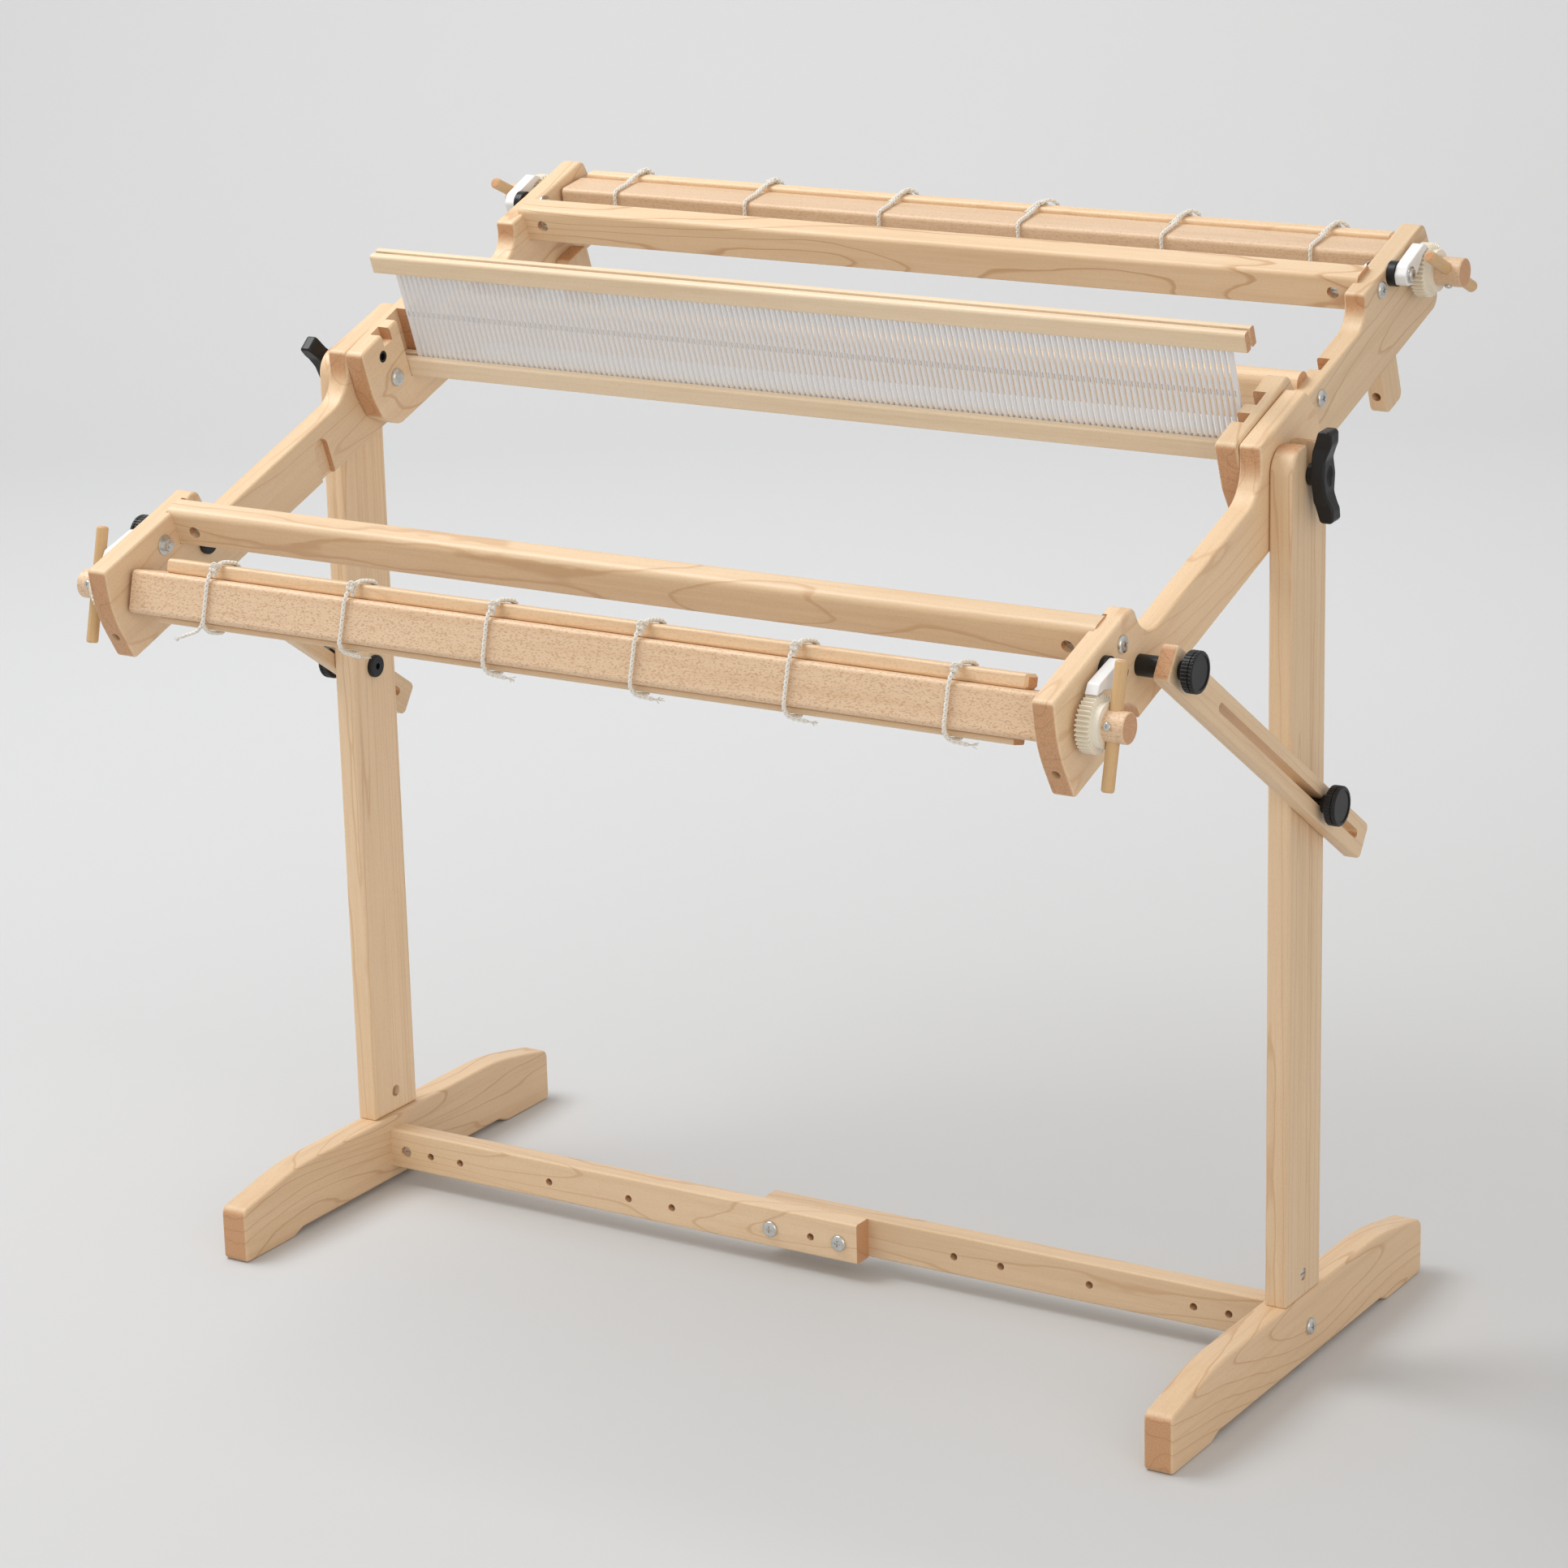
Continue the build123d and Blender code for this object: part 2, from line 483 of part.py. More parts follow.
def back_frame():
    """Back sides, back beam, brace rail and rest legs, drawn flat."""
    nodes = {}
    side = slab(
        BACK_IN,
        BACK_OUT,
        [
            (-34, 40, 5),
            (62, 45, 8),
            (74, 11.5, 18),
            (195.5, 11.5, 20),
            (199.8, 35.5, 3.5),
            (315, 35.5, 8),
            (321.5, 8, 20),
            (321.5, -40, 12),
            (-10, -40, 15),
            (-29, -22, 10),
            (-34, 0, 20),
        ],
        soft=SOFT,
    )
    deep = BACK_IN + 11.2
    side -= block(BACK_IN - 1, deep, -4, 8, 31, 60)
    side -= block(BACK_IN - 1, deep, 19.4, 36.6, -10.3, 60)
    side -= block(BACK_IN - 1, deep, 125, 142, -6, 20)
    side -= block(BACK_IN - 1, BACK_IN + DADO, 216, 238, 10, 60)
    side -= block(BACK_IN - 1, BACK_IN + DADO, 95, 114, -20, 20)
    side -= rod_x(380, 410, WARP_S, WARP_T, AXLE_D + 0.16)
    side -= rod_x(380, 410, 0, 0, 6.35 + 2 * CLEAR)
    side -= rod_x(380, 410, 247, 28, 5.1)
    side -= rod_x(380, 410, 226, 25, 6.1)
    side -= rod_x(380, 410, 104, 0, 6.1)
    side -= rod_x(BACK_IN - 1, BACK_IN + 9, -8.8, 24.5, 10)
    nodes["back_side_right"], nodes["back_side_left"] = [[p] for p in both(side)]
    insert = rod_x(BACK_IN + 0.3, BACK_IN + 9, 0, 0, 9.9)
    insert -= Pos(BACK_IN, 0, 0) * extrude(Plane.YZ * RegularPolygon(3.4, 6), 6)
    nodes["socket_inserts"] = both(Pos(0, -8.8, 24.5) * insert)

    half = BACK_IN + DADO
    rail = slab(-half, half, [(216, 10, 2), (216, 40, 4), (238, 40, 4), (238, 10, 2)])
    for x in (370, -370):
        rail -= rod_y(x, 215, 232, 25, 10 + 2 * CLEAR)
    for x0, x1 in ((355, 400), (-400, -355)):
        rail -= rod_x(x0, x1, 226, 25, 6.1)
    nodes["back_beam"] = [rail]
    brace = slab(-half, half, [(95, -20, 2), (95, 20, 9), (114, 20, 9), (114, -20, 2)])
    for x in (370, -370):
        brace -= rod_y(x, 94, 110, 0, 10 + 2 * CLEAR)
    for x0, x1 in ((355, 400), (-400, -355)):
        brace -= rod_x(x0, x1, 104, 0, 6.1)
    nodes["brace_rail"] = [brace]
    nodes["back_frame_bolts"] = both(frame_bolt(BACK_OUT, 226, 25, 44))
    nodes["back_frame_bolts"] += both(frame_bolt(BACK_OUT, 104, 0, 44))
    nodes["back_frame_barrel_nuts"] = both(barrel_nut(370, 220, 232, 25, "x"))
    nodes["back_frame_barrel_nuts"] += both(barrel_nut(370, 98, 110, 0, "x"))

    leg = slab(
        BACK_IN - 15,
        BACK_IN,
        [(242.5, -99, 7), (242.5, -24, 4), (272.5, -24, 4), (272.5, -99, 7)],
        soft=2,
    )
    leg -= rod_y(BACK_IN - 7.5, 240, 262, -83, 7.5)
    nodes["rest_legs"] = both(leg)

    kit, spacer = pawl_kit(WARP_GEAR, BACK_OUT, BACK_IN, 247, 28)
    nodes["back_pawl_fasteners"] = [p for piece in kit for p in both(piece)]
    nodes["back_pawl_spacers"] = both(spacer)
    pawl = slab(
        WARP_GEAR,
        WARP_GEAR + GEAR_THICK,
        [
            (284, 33.1, 0.8),
            (277, 38.8, 4),
            (245, 37, 6),
            (238.5, 31.5, 4),
            (238.5, 22.5, 4),
            (247, 19, 4),
            (261, 24, 3),
            (272, 31.5, 3),
        ],
        soft=0.8,
    )
    pawl -= rod_x(400, 430, 247, 28, 5 + 2 * CLEAR)
    nodes["back_pawl_right"], nodes["back_pawl_left"] = [[p] for p in both(pawl)]
    return nodes


def heddle():
    """Two rails and the slotted reed between them, drawn flat."""
    nodes = {}
    inner = 28 - REED_THICK / 2
    top = [(20, 86, 1), (20, 102, 3), (inner, 102, 1), (inner, 86, 1)]
    low = [(20, -10, 1), (20, 6, 2), (inner, 6, 1), (inner, -10, 1)]
    rails = []
    for corners in (top, low):
        front = slab(-RAIL_HALF, RAIL_HALF, corners)
        rails += [front, Pos(0, 56, 0) * mirror(front, Plane.XZ)]
    nodes["heddle_rails"] = rails
    holes = []
    for n in range(SLATS - 1):
        x = (n - (SLATS - 2) / 2) * SLAT_PITCH
        holes.append(Wire.make_rect(SLAT_PITCH - SLAT_WIDE, 86).moved(Pos(x, 0, 0)))
    for n in range(SLATS):
        x = (n - (SLATS - 1) / 2) * SLAT_PITCH
        holes.append(Wire.make_rect(1.2, 5).moved(Pos(x, 0, 0)))
    sheet = Face(Wire.make_rect(2 * REED_HALF, 104), holes)
    deep = REED_THICK - 2 * CLEAR
    reed = Pos(0, 28 + deep / 2, 46) * Rot(90, 0, 0) * extrude(sheet, deep, dir=(0, 0, 1))
    nodes["heddle_reed"] = [reed]
    return nodes


def braces():
    """Slotted wooden braces between the front frame and the posts."""
    half = BRACE_WIDE / 2
    arm = slab(
        BRACE_IN,
        BRACE_OUT,
        [(-14.5, -half, 5), (-14.5, half, 5), (375, half, 5), (375, -half, 5)],
        soft=2,
    )
    arm -= rod_x(440, 460, 0, 0, STUD_D + 2 * CLEAR)
    ends = (72.5 + 3.6, 357.7 - 3.6)
    arm -= block(440, 460, ends[0], ends[1], -3.65, 3.65)
    for y in ends:
        arm -= rod_x(440, 460, y, 0, 7.3)
    at = (LOOM * Pos(0, BRACE_S, BRACE_T)).position
    turn = degrees(atan2(STUD_Z - at.Z, PIVOT_Y - at.Y))
    arm = Pos(0, at.Y, at.Z) * Rot(turn, 0, 0) * arm
    right, left = both(arm)
    return {"brace_right": [right], "brace_left": [left]}


def build():
    """All nodes, with the origin at the bottom centre of the whole loom's box."""
    nodes = dict(stand())
    for group in (front_frame(), cloth_roller(), back_frame(), warp_roller(), heddle()):
        for name, pieces in group.items():
            nodes[name] = [LOOM * piece for piece in pieces]
    nodes.update(braces())
    solids = {}
    for name, pieces in nodes.items():
        solids[name] = [solid for piece in pieces for solid in piece.solids()]
    boxes = [solid.bounding_box() for group in solids.values() for solid in group]
    low = min(box.min.Z for box in boxes)
    shift = -(min(box.min.Y for box in boxes) + max(box.max.Y for box in boxes)) / 2
    return {n: [Pos(0, shift, -low) * p for p in group] for n, group in solids.items()}, shift


def main():
    nodes, shift = build()
    os.makedirs("parts", exist_ok=True)
    for name, pieces in nodes.items():
        piece = pieces[0] if len(pieces) == 1 else Compound(children=pieces)
        export_step(piece, f"parts/{name}.step")
    print("nodes", len(nodes), "shift in y", round(shift, 4))


main()
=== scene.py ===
import json
import math
import random

import bmesh
import bpy
from mathutils import Matrix, Vector

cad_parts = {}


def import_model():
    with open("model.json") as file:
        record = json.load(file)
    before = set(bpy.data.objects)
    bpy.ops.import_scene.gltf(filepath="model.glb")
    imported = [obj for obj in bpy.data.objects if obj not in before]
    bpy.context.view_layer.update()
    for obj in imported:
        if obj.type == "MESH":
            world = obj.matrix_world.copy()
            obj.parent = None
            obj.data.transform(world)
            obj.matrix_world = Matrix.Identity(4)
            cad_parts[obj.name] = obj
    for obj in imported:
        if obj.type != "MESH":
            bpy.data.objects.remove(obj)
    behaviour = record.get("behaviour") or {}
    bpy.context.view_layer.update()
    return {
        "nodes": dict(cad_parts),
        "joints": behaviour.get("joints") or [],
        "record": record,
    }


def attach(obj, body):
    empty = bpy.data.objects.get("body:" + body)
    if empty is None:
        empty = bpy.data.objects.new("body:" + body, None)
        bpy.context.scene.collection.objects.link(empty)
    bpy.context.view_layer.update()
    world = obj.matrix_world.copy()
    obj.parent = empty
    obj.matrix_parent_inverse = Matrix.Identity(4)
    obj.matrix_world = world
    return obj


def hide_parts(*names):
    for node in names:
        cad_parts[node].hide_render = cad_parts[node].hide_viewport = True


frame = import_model()
NODES = frame["nodes"]
JOINTS = {j["name"]: j for j in frame["joints"]}
TILT = math.radians(19.5)  # how far the loom leans at rest
CLOTH_AXLE = Vector(JOINTS["cloth_beam_turn"]["pos_m"])
WARP_AXLE = Vector(JOINTS["warp_beam_turn"]["pos_m"])
TIE_X = (-0.3275, -0.1965, -0.0655, 0.0655, 0.1965, 0.3275)
random.seed(7)


# ---------------------------------------------------------------- node helpers


class Mat:
    """A small builder for node materials."""

    def __init__(self, name):
        self.mat = bpy.data.materials.new(name)
        self.mat.use_nodes = True
        self.tree = self.mat.node_tree
        self.bsdf = self.tree.nodes["Principled BSDF"]

    def node(self, kind, **values):
        made = self.tree.nodes.new(kind)
        for key, value in values.items():
            setattr(made, key, value)
        return made

    def link(self, a, b):
        self.tree.links.new(a, b)

    def put(self, socket, value):
        if isinstance(value, bpy.types.NodeSocket):
            self.link(value, socket)
        else:
            socket.default_value = value

    def math(self, op, a, b=0.0):
        made = self.node("ShaderNodeMath", operation=op)
        self.put(made.inputs[0], a)
        self.put(made.inputs[1], b)
        return made.outputs[0]

    def mix(self, fac, a, b):
        made = self.node("ShaderNodeMix", data_type="RGBA")
        self.put(made.inputs[0], fac)
        self.put(made.inputs[6], a)
        self.put(made.inputs[7], b)
        return made.outputs[2]

    def ramp(self, fac, *stops):
        made = self.node("ShaderNodeValToRGB")
        self.put(made.inputs[0], fac)
        made.color_ramp.elements[0].position = stops[0][0]
        made.color_ramp.elements[0].color = grey(stops[0][1])
        made.color_ramp.elements[1].position = stops[-1][0]
        made.color_ramp.elements[1].color = grey(stops[-1][1])
        for place, value in stops[1:-1]:
            made.color_ramp.elements.new(place).color = grey(value)
        return made.outputs[0]

    def noise(self, vector, scale, detail=4.0, rough=0.5, distort=0.0):
        made = self.node("ShaderNodeTexNoise")
        self.put(made.inputs["Vector"], vector)
        made.inputs["Scale"].default_value = scale
        made.inputs["Detail"].default_value = detail
        made.inputs["Roughness"].default_value = rough
        made.inputs["Distortion"].default_value = distort
        return made.outputs[0]

    def place(self, vector, location=(0, 0, 0), rotation=(0, 0, 0), scale=(1, 1, 1)):
        made = self.node("ShaderNodeMapping")
        self.put(made.inputs["Vector"], vector)
        made.inputs["Location"].default_value = location
        made.inputs["Rotation"].default_value = rotation
        made.inputs["Scale"].default_value = scale
        return made.outputs[0]

    def bump(self, height, strength, distance=0.001, after=None):
        made = self.node("ShaderNodeBump")
        made.inputs["Strength"].default_value = strength
        made.inputs["Distance"].default_value = distance
        self.put(made.inputs["Height"], height)
        if after is not None:
            self.link(after, made.inputs["Normal"])
        return made.outputs[0]

    def finish(self, color, rough, bump=None, **fixed):
        self.put(self.bsdf.inputs["Base Color"], color)
        self.put(self.bsdf.inputs["Roughness"], rough)
        if bump is not None:
            self.link(bump, self.bsdf.inputs["Normal"])
        for key, value in fixed.items():
            self.bsdf.inputs[key.replace("_", " ")].default_value = value
        return self.mat


def grey(v):
    """A colour from one number or three."""
    return (v, v, v, 1) if isinstance(v, (int, float)) else (*v, 1)


# ---------------------------------------------------------------- materials


def wood(name, along, turn, shift, pale, figure, flecks, plain):
    """Lacquered maple. along is the grain's axis in the board's own frame, and turn tips
    that frame about X to match a tilted board. plain boards have straight grain."""
    m = Mat(name)
    coords = m.node("ShaderNodeTexCoord")
    flat = m.place(coords.outputs["Object"], rotation=(-turn, 0, 0))
    normal = m.place(coords.outputs["Normal"], rotation=(-turn, 0, 0))
    spin = {"x": (0, 0, 0), "y": (0, 0, -math.pi / 2), "z": (0, math.pi / 2, 0)}[along]
    board = m.place(m.place(flat, rotation=spin), location=shift)
    facing = m.place(normal, rotation=spin)

    # growth rings: thin contour lines of a slow field that is stretched along the grain
    reach = (0.30, 24, 24) if plain else (2.1, 13, 13)
    field = m.noise(m.place(board, scale=reach), 1.0, 1.0, 0.4, 0.35)
    ripple = m.noise(m.place(board, scale=(14, 60, 60)), 1.0, 2.0, 0.5)
    field = m.math("ADD", field, m.math("MULTIPLY", ripple, 0.035))
    saw = m.math("FRACT", m.math("MULTIPLY", field, 15.0))
    line = m.ramp(saw, (0.0, 1.0), (0.03, 0.05), (0.60, 0.01), (0.90, 0.13), (0.963, 1.0), (1.0, 1.0))

    streak = m.noise(m.place(board, scale=(3.5, 130, 130)), 1.0, 5.0, 0.62)
    fibre = m.noise(m.place(board, scale=(30, 900, 900)), 1.0, 3.0, 0.6)
    cloud = m.noise(m.place(board, scale=(2.2, 12, 12)), 1.0, 3.0, 0.55)

    dark = tuple(c * k for c, k in zip(pale, (0.80, 0.68, 0.56)))
    light = tuple(min(1, c * k) for c, k in zip(pale, (1.08, 1.12, 1.18)))
    color = m.mix(m.ramp(cloud, (0.32, 0.0), (0.70, 1.0)), grey(pale), grey(light))
    contour = tuple(c * k for c, k in zip(pale, (0.70, 0.52, 0.38)))
    color = m.mix(m.math("MULTIPLY", line, 0.52 * figure), color, grey(contour))
    color = m.mix(m.math("MULTIPLY", m.ramp(streak, (0.46, 0.0), (0.78, 1.0)), 0.40), color, grey(dark))
    color = m.mix(m.math("MULTIPLY", m.ramp(fibre, (0.50, 0.0), (0.75, 1.0)), 0.22), color, grey(dark))

    # ray flecks, short and darker than the ground
    spots = m.noise(m.place(board, scale=(420, 1100, 1100)), 1.0, 1.0, 0.5)
    speck = m.ramp(spots, (0.52, 0.0), (0.66, 1.0))
    tone = tuple(c * k for c, k in zip(pale, (0.68, 0.56, 0.45)))
    color = m.mix(m.math("MULTIPLY", speck, 0.12 + flecks), color, grey(tone))

    # end grain is denser and more orange
    split = m.node("ShaderNodeSeparateXYZ")
    m.link(facing, split.inputs[0])
    end = m.ramp(m.math("ABSOLUTE", split.outputs[0]), (0.72, 0.0), (0.96, 1.0))
    pores = m.noise(m.place(board, scale=(200, 1300, 1300)), 1.0, 2.0, 0.5)
    cut = m.mix(m.ramp(pores, (0.4, 0.0), (0.68, 1.0)), grey((0.66, 0.37, 0.195)), grey((0.50, 0.255, 0.12)))
    cut = m.mix(m.math("MULTIPLY", line, 0.30), cut, grey((0.34, 0.15, 0.065)))
    color = m.mix(end, color, cut)

    rough = m.math("ADD", m.math("MULTIPLY", streak, 0.16), 0.36)
    relief = m.bump(fibre, 0.10, 0.0003)
    relief = m.bump(pores, 0.05, 0.0003, after=relief)
    return m.finish(color, rough, relief, Coat_Weight=0.10, Coat_Roughness=0.34, Specular_IOR_Level=0.40)


def metal(name, tone, rough, grain=2200.0):
    """Zinc-plated steel with fine handling marks."""
    m = Mat(name)
    where = m.node("ShaderNodeTexCoord").outputs["Object"]
    fine = m.noise(where, grain, 3.0, 0.6)
    broad = m.noise(where, 240.0, 3.0, 0.6)
    color = m.mix(m.ramp(broad, (0.35, 0.0), (0.7, 1.0)), grey(tone), grey(tuple(c * 0.78 for c in tone)))
    roughness = m.math("ADD", m.math("MULTIPLY", fine, 0.25), rough)
    return m.finish(color, roughness, m.bump(fine, 0.05, 0.0002), Metallic=1.0)


def plastic(name, tone, rough, speckle=0.08, grain=1500.0, relief=0.06, **fixed):
    """Moulded plastic with a faint texture and uneven gloss."""
    m = Mat(name)
    where = m.node("ShaderNodeTexCoord").outputs["Object"]
    fine = m.noise(where, grain, 3.0, 0.6)
    broad = m.noise(where, 60.0, 3.0, 0.55)
    color = m.mix(m.math("MULTIPLY", fine, speckle * 2), grey(tone), grey(tuple(c * 0.7 for c in tone)))
    color = m.mix(m.math("MULTIPLY", broad, 0.12), color, grey(tuple(min(1, c * 1.35 + 0.01) for c in tone)))
    roughness = m.math("ADD", m.math("MULTIPLY", broad, 0.18), rough)
    return m.finish(color, roughness, m.bump(fine, relief, 0.0003), **fixed)


def cord_material():
    """White braided cotton: the strand colour with dusty hollows."""
    m = Mat("white_cord")
    where = m.node("ShaderNodeTexCoord").outputs["Object"]
    fuzz = m.noise(where, 1900.0, 4.0, 0.65)
    soil = m.noise(where, 170.0, 3.0, 0.5)
    color = m.mix(m.ramp(fuzz, (0.35, 0.0), (0.75, 1.0)), grey((0.80, 0.77, 0.70)), grey((0.93, 0.91, 0.86)))
    color = m.mix(m.math("MULTIPLY", soil, 0.18), color, grey((0.70, 0.63, 0.53)))
    return m.finish(color, 0.92, m.bump(fuzz, 0.35, 0.0004), Sheen_Weight=0.3, Sheen_Roughness=0.5)


def dress(node, material):
    """Give a CAD node one material."""
    mesh = NODES[node].data
    mesh.materials.clear()
    mesh.materials.append(material)


CLOTH_TURN = TILT + math.radians(56.5 - 90)
WARP_TURN = TILT + math.radians(80 - 90)
MAPLE = (0.78, 0.57, 0.36)
FOOT = (0.76, 0.535, 0.325)
PINK = (0.77, 0.555, 0.365)
BRACE_TURN = math.radians(-34.5)
# node, grain axis, tip about X, strength of growth lines, ray flecks, tint, straight grain
BOARDS = [
    ("foot_left", "y", 0, 1.0, 0, FOOT, False),
    ("foot_right", "y", 0, 1.0, 0, FOOT, False),
    ("post_left", "z", 0, 0.8, 0, MAPLE, True),
    ("post_right", "z", 0, 0.8, 0, MAPLE, True),
    ("crossbar_left", "x", 0, 0.8, 0, MAPLE, False),
    ("crossbar_right", "x", 0, 0.8, 0, MAPLE, False),
    ("front_side_left", "y", TILT, 0.7, 0.06, MAPLE, False),
    ("front_side_right", "y", TILT, 0.7, 0.06, MAPLE, False),
    ("front_beam", "x", TILT, 0.9, 0, MAPLE, False),
    ("back_side_left", "y", TILT, 1.0, 0.05, MAPLE, False),
    ("back_side_right", "y", TILT, 1.0, 0.05, MAPLE, False),
    ("back_beam", "x", TILT, 1.3, 0, MAPLE, False),
    ("brace_rail", "x", TILT, 0.7, 0, MAPLE, True),
    ("rest_legs", "z", TILT, 0.6, 0, MAPLE, True),
    ("cloth_beam", "x", CLOTH_TURN, 0.25, 0.55, PINK, True),
    ("warp_beam", "x", WARP_TURN, 0.3, 0.30, PINK, True),
    ("cloth_apron_bar", "x", CLOTH_TURN, 0.5, 0.14, MAPLE, False),
    ("warp_apron_bar", "x", WARP_TURN, 0.5, 0.14, MAPLE, False),
    ("cloth_apron_strip", "x", CLOTH_TURN, 0.5, 0, MAPLE, True),
    ("warp_apron_strip", "x", WARP_TURN, 0.5, 0, MAPLE, True),
    ("brace_left", "y", BRACE_TURN, 0.5, 0.05, MAPLE, True),
    ("brace_right", "y", BRACE_TURN, 0.5, 0.05, MAPLE, True),
]
# each board is cut from another part of the log and differs a little in tone
for index, (node, along, turn, figure, flecks, tint, plain) in enumerate(BOARDS):
    drift = (0.37 * index, 0.011 * ((index * 5) % 7 - 3), 0.013 * ((index * 3) % 5 - 2))
    near = 1 + 0.03 * ((index * 7) % 5 - 2)
    shade = tuple(c * near for c in tint)
    dress(node, wood("maple_" + node, along, turn, drift, shade, figure, flecks, plain))
dress("heddle_rails", wood("birch_rails", "x", TILT, (0.2, 0, 0), (0.82, 0.65, 0.45), 0.25, 0, True))
DOWEL = (0.66, 0.43, 0.21)
dress("cloth_beam_handles", wood("dowel_cloth", "z", CLOTH_TURN, (0.1, 0, 0), DOWEL, 0.2, 0, True))
warp_dowel = WARP_TURN + math.radians(56)
dress("warp_beam_handles", wood("dowel_warp", "z", warp_dowel, (0.4, 0, 0), DOWEL, 0.2, 0, True))

STEEL = metal("zinc_steel", (0.74, 0.74, 0.72), 0.16)
BLACK_STEEL = plastic("black_steel", (0.018, 0.018, 0.02), 0.34, Metallic=0.4)
BLACK = plastic("black_plastic", (0.010, 0.010, 0.011), 0.24, relief=0.10, Specular_IOR_Level=0.35)
NYLON = plastic("white_nylon", (0.88, 0.82, 0.69), 0.34, speckle=0.03)
PAWL = plastic("pawl_white", (0.86, 0.87, 0.88), 0.30, speckle=0.03)
REED = plastic("reed_plastic", (0.83, 0.84, 0.86), 0.42, speckle=0.02, relief=0.03)
CORD = cord_material()
FINISHES = {
    "zinc_steel": STEEL, "black_metal": BLACK_STEEL, "black_plastic": BLACK,
    "white_nylon": NYLON, "reed_plastic": REED, "white_cord": CORD,
}
for part in frame["record"]["subparts"]:
    if part["material_slot"] in FINISHES:
        dress(part["node"], FINISHES[part["material_slot"]])
for side in ("left", "right"):
    dress("front_pawl_" + side, PAWL)
    dress("back_pawl_" + side, PAWL)


# ---------------------------------------------------------------- cords


def smooth_path(points, step=0.0010):
    """Points along a smooth curve that runs near the given ones, evenly spaced."""
    data = bpy.data.curves.new("path", "CURVE")
    data.dimensions = "3D"
    spline = data.splines.new("NURBS")
    spline.points.add(len(points) - 1)
    for made, point in zip(spline.points, points):
        made.co = (*point, 1)
    spline.order_u = 3
    spline.use_endpoint_u = True
    spline.resolution_u = 12
    holder = bpy.data.objects.new("path", data)
    mesh = bpy.data.meshes.new_from_object(holder)
    line = [v.co.copy() for v in mesh.vertices]
    bpy.data.objects.remove(holder)
    bpy.data.curves.remove(data)
    bpy.data.meshes.remove(mesh)
    out, left = [line[0]], step
    for a, b in zip(line, line[1:]):
        span = (b - a).length
        while span > left:
            a = a + (b - a) * (left / span)
            span -= left
            left = step
            out.append(a.copy())
        left -= span
    out.append(line[-1])
    return out


def tube(bm, line, radius, sides=6):
    """A closed tube along a line."""
    rings = []
    up = Vector((1, 0, 0.01)).normalized()
    for i, point in enumerate(line):
        ahead = (line[min(i + 1, len(line) - 1)] - line[max(i - 1, 0)]).normalized()
        across = up - ahead * up.dot(ahead)
        if across.length < 1e-4:
            across = ahead.orthogonal()
        across.normalize()
        up = across
        other = ahead.cross(across)
        ring = []
        for k in range(sides):
            a = 2 * math.pi * k / sides
            ring.append(bm.verts.new(point + (across * math.cos(a) + other * math.sin(a)) * radius))
        rings.append(ring)
    for a, b in zip(rings, rings[1:]):
        for k in range(sides):
            bm.faces.new((a[k], a[(k + 1) % sides], b[(k + 1) % sides], b[k]))
    bm.faces.new(list(reversed(rings[0])))
    bm.faces.new(rings[-1])


def braid(bm, line, width, pitch=0.0078):
    """A braided cord along a line: four strands, two wound each way."""
    strands = 4
    for n in range(strands):
        hand = 1 if n % 2 == 0 else -1
        wound, run = [], 0.0
        up = Vector((1, 0, 0.01)).normalized()
        for i, point in enumerate(line):
            if i:
                run += (point - line[i - 1]).length
            ahead = (line[min(i + 1, len(line) - 1)] - line[max(i - 1, 0)]).normalized()
            across = (up - ahead * up.dot(ahead)).normalized()
            up = across
            other = ahead.cross(across)
            a = 2 * math.pi * (hand * run / pitch + n / strands)
            wound.append(point + (across * math.cos(a) + other * math.sin(a)) * width * 0.26)
        tube(bm, wound, width * 0.25, 5)


CORD_WIDTH = 0.0034
TWIN_START, TWIN_DRIFT = 0.0040, 0.0066  # the second turn crosses the first as it comes down
FRAY = 9


def coil(world, start, end, turns=1.5, radius=0.0027):
    """Points of the cord's own end wound round the loop, between bar and beam."""
    a, b = Vector(start), Vector(end)
    along = (b - a).normalized()
    out = Vector((-along.y, along.x))
    points = []
    steps = 18
    for k in range(steps + 1):
        angle = 2 * math.pi * turns * k / steps
        place = a + (b - a) * (k / steps) + out * (radius * math.cos(angle))
        points.append(world(place.x, place.y, radius * math.sin(angle)))
    return points


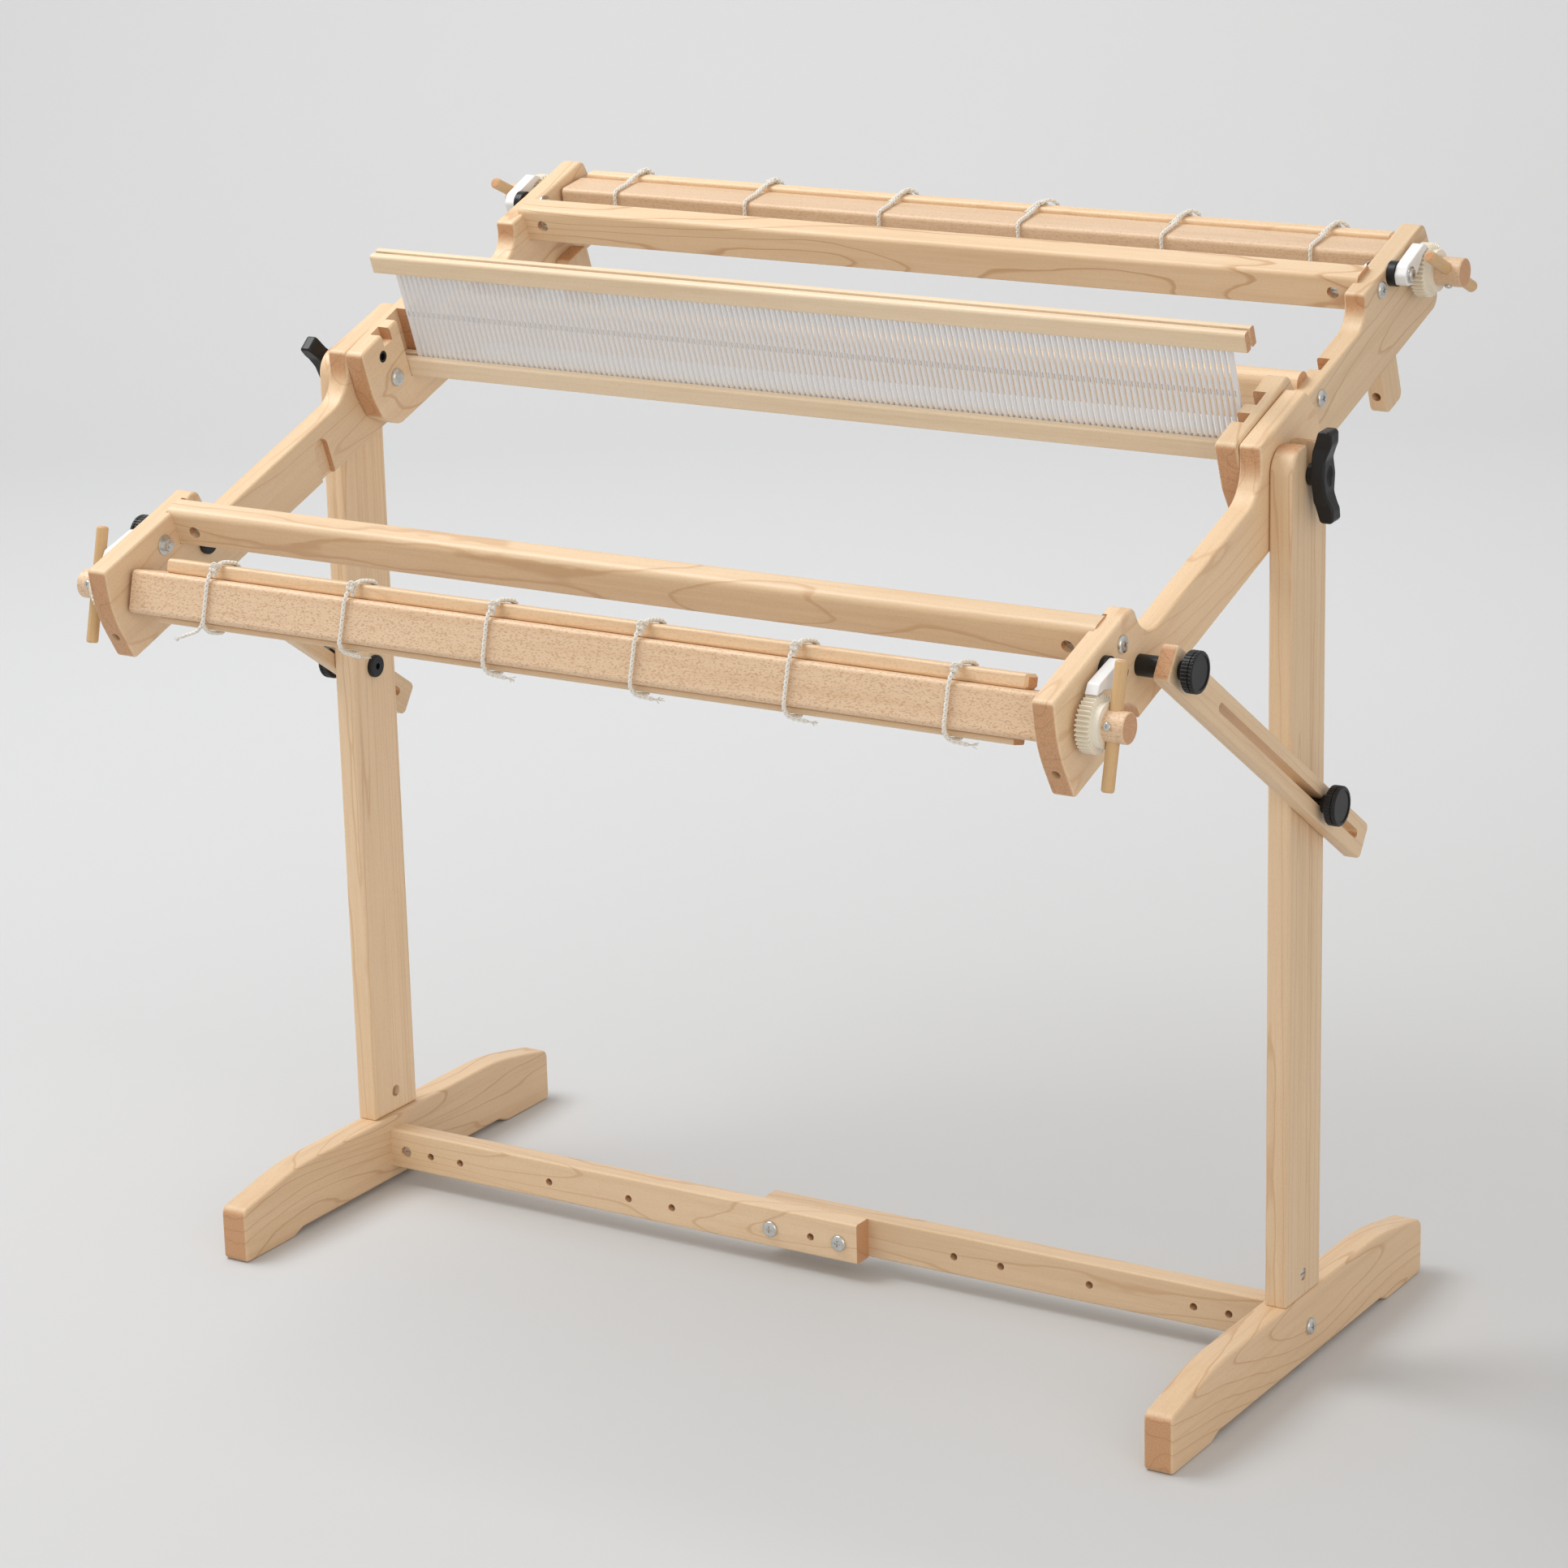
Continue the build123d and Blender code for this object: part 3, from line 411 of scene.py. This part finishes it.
def lashing(name, body, axle, turn, x, loop, around, tail, hitch=None):
    """One tie cord: a loop round beam, bar and strip, a second turn round the bar, and a tail."""
    spin = Matrix.Rotation(turn, 4, "X")
    lean = random.uniform(-0.0022, 0.0022)

    def world(y, z, dx=0.0):
        return axle + spin @ Vector((x - axle.x + dx, y, z))

    bm = bmesh.new()
    count = len(loop) - 1
    ring = [world(y, z, lean * (2 * i / count - 1)) for i, (y, z) in enumerate(loop)]
    braid(bm, smooth_path(ring), CORD_WIDTH)
    spare = len(around) - 1
    twin = []
    for i, (y, z) in enumerate(around):
        twin.append(world(y, z, TWIN_START - TWIN_DRIFT * i / spare - lean))
    braid(bm, smooth_path(twin), CORD_WIDTH)
    if hitch:
        braid(bm, smooth_path(coil(world, *hitch)), CORD_WIDTH * 0.9)
    line = [world(y, z, lean + dx) for y, z, dx in tail]
    smooth = smooth_path(line)
    braid(bm, smooth, CORD_WIDTH * 0.92)
    tip, away = smooth[-1], (smooth[-1] - smooth[-2]).normalized()
    for k in range(FRAY):
        stray = Vector((random.uniform(-1, 1), random.uniform(-1, 1), random.uniform(-1, 1))) * 0.4
        hair = [tip - away * 0.001, tip + (away + stray * 0.5) * 0.003, tip + (away + stray) * 0.0055]
        tube(bm, hair, 0.00028, 4)
    mesh = bpy.data.meshes.new(name)
    bm.to_mesh(mesh)
    bm.free()
    for face in mesh.polygons:
        face.use_smooth = True
    piece = bpy.data.objects.new(name, mesh)
    bpy.context.scene.collection.objects.link(piece)
    mesh.materials.append(CORD)
    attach(piece, body)
    return piece


CLOTH_LOOP = [
    (0.0149, 0.0187), (0.0152, 0.0240), (0.0132, 0.0303), (0.0040, 0.0305), (-0.0054, 0.0301),
    (-0.0112, 0.0256), (-0.0178, 0.0202), (-0.0194, 0.0150), (-0.0193, 0.0050), (-0.0193, -0.0060),
    (-0.0193, -0.0150), (-0.0183, -0.0196), (-0.0112, -0.0236), (-0.0060, -0.0243), (0.0040, -0.0243),
    (0.0088, -0.0232), (0.0092, -0.0185),
]
CLOTH_TURNING = [
    (0.0150, 0.0200), (0.0154, 0.0262), (0.0122, 0.0306), (0.0030, 0.0310), (-0.0054, 0.0306),
    (-0.0080, 0.0262), (-0.0084, 0.0220), (-0.0084, 0.0184),
]
CLOTH_HITCH = ((-0.0086, 0.0292), (-0.0162, 0.0226))
FIRST_TAIL = [
    (-0.0186, -0.0150, 0), (-0.0184, -0.0215, -0.002), (-0.0174, -0.0252, -0.008),
    (-0.0164, -0.0272, -0.015), (-0.0152, -0.0300, -0.022),
]
CLOTH_TAIL = [
    (-0.0186, -0.0150, 0), (-0.0182, -0.0212, 0.001), (-0.0150, -0.0246, 0.004),
    (-0.0118, -0.0256, 0.009), (-0.0100, -0.0260, 0.0165),
]
WARP_LOOP = [
    (0.0262, 0.0010), (0.0296, 0.0008), (0.0303, 0.0060), (0.0303, 0.0150), (0.0298, 0.0215),
    (0.0220, 0.0224), (0.0140, 0.0207), (0.0000, 0.0192), (-0.0130, 0.0192), (-0.0186, 0.0180),
    (-0.0193, 0.0120), (-0.0193, 0.0000), (-0.0193, -0.0120), (-0.0186, -0.0193), (-0.0100, -0.0239),
    (0.0000, -0.0244), (0.0098, -0.0236), (0.0100, -0.0185),
]
WARP_TURNING = [
    (0.0303, 0.0060), (0.0306, 0.0140), (0.0304, 0.0220), (0.0230, 0.0232), (0.0160, 0.0226),
    (0.0100, 0.0208), (0.0040, 0.0200),
]
WARP_TAIL = [(0.0210, 0.0226, 0), (0.0250, 0.0244, 0.003), (0.0285, 0.0240, 0.007), (0.0305, 0.0194, 0.010)]
cloth_ties, warp_ties = [], []
for i, x in enumerate(TIE_X):
    number = str(i + 1)
    cloth_ties.append(
        lashing(
            "cloth_tie_" + number, "cloth_roller", CLOTH_AXLE, CLOTH_TURN, x, CLOTH_LOOP, CLOTH_TURNING,
            CLOTH_TAIL if i else FIRST_TAIL, CLOTH_HITCH,
        )
    )
    warp_ties.append(
        lashing(
            "warp_tie_" + number, "warp_roller", WARP_AXLE, WARP_TURN, x, WARP_LOOP, WARP_TURNING, WARP_TAIL
        )
    )
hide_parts("cloth_beam_ties")
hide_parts("warp_beam_ties")


# ---------------------------------------------------------------- stage, light, camera

FLOOR_FRONT, FLOOR_BACK, SWEEP, WALL_TOP, HALF_WIDTH = -6.0, 3.2, 1.6, 7.0, 9
SWEEP_STEPS = 16
PHOTO_SIDE = math.radians(32.0)  # the paper stands square to the camera

bm = bmesh.new()
profile = [(FLOOR_FRONT, 0.0), (FLOOR_BACK, 0.0)]
for k in range(1, SWEEP_STEPS + 1):
    a = math.radians(90 * k / SWEEP_STEPS)
    profile.append((FLOOR_BACK + SWEEP * math.sin(a), SWEEP - SWEEP * math.cos(a)))
profile.append((FLOOR_BACK + SWEEP, WALL_TOP))
rows = []
swing = Matrix.Rotation(PHOTO_SIDE, 4, "Z")
for y, z in profile:
    rows.append([bm.verts.new(swing @ Vector((x, y, z))) for x in (-HALF_WIDTH, HALF_WIDTH)])
for a, b in zip(rows, rows[1:]):
    bm.faces.new((a[0], a[1], b[1], b[0]))
mesh = bpy.data.meshes.new("backdrop")
bm.to_mesh(mesh)
bm.free()
for face in mesh.polygons:
    face.use_smooth = True
backdrop = bpy.data.objects.new("backdrop", mesh)
bpy.context.scene.collection.objects.link(backdrop)
m = Mat("backdrop")
where = m.node("ShaderNodeTexCoord").outputs["Object"]
soft = m.noise(where, 1.4, 3.0, 0.5)
paper = m.mix(m.math("MULTIPLY", soft, 0.5), grey((0.628, 0.634, 0.642)), grey((0.648, 0.654, 0.662)))
mesh.materials.append(m.finish(paper, 0.9, Specular_IOR_Level=0.1))

world = bpy.data.worlds.new("studio")
bpy.context.scene.world = world
world.use_nodes = True
air = world.node_tree.nodes["Background"].inputs
air["Color"].default_value = (1.0, 0.98, 0.955, 1)
air["Strength"].default_value = 0.66


def softbox(name, place, target, size, power, tone=(1, 1, 1)):
    """A rectangular lamp at place that faces target, in metres and watts."""
    data = bpy.data.lights.new(name, "AREA")
    data.shape = "RECTANGLE"
    data.size, data.size_y = size
    data.energy = power
    data.color = tone
    lamp = bpy.data.objects.new(name, data)
    bpy.context.scene.collection.objects.link(lamp)
    lamp.location = place
    lamp.rotation_euler = (Vector(target) - Vector(place)).to_track_quat("-Z", "Y").to_euler()


softbox("key", (-1.7, -0.5, 3.3), (0, 0, 0.5), (2.0, 2.0), 76, (0.985, 0.995, 1.0))
softbox("fill", (3.4, -2.6, 1.9), (0, 0, 0.6), (2.6, 2.6), 30, (1.0, 0.90, 0.79))
softbox("back", (-0.9, 1.2, 3.4), (-1.9, 4.2, 2.5), (3.0, 2.0), 68)

# the camera circles the loom at AZ from the front and EL above level, rolled a little
AZ, EL, ROLL, DIST = math.radians(32.04), math.radians(16.61), math.radians(-1.45), 3.7126
TARGET = Vector((-0.00041, -0.0062867, 0.42418))
FOCAL_WIDTHS = 2.968633540372671  # focal length over sensor width
SENSOR = 36.0
back = Vector((math.sin(AZ) * math.cos(EL), -math.cos(AZ) * math.cos(EL), math.sin(EL)))
level = Vector((math.cos(AZ), math.sin(AZ), 0))
upward = back.cross(level)
right = level * math.cos(ROLL) + upward * math.sin(ROLL)
up = upward * math.cos(ROLL) - level * math.sin(ROLL)
pose = Matrix((
    (right.x, up.x, back.x, 0),
    (right.y, up.y, back.y, 0),
    (right.z, up.z, back.z, 0),
    (0, 0, 0, 1),
))
lens = bpy.data.cameras.new("camera")
lens.sensor_width = SENSOR
lens.sensor_fit = "HORIZONTAL"
lens.lens = FOCAL_WIDTHS * SENSOR
camera = bpy.data.objects.new("camera", lens)
bpy.context.scene.collection.objects.link(camera)
camera.matrix_world = Matrix.Translation(TARGET + back * DIST) @ pose
bpy.context.scene.camera = camera
bpy.context.scene.view_settings.view_transform = "Standard"
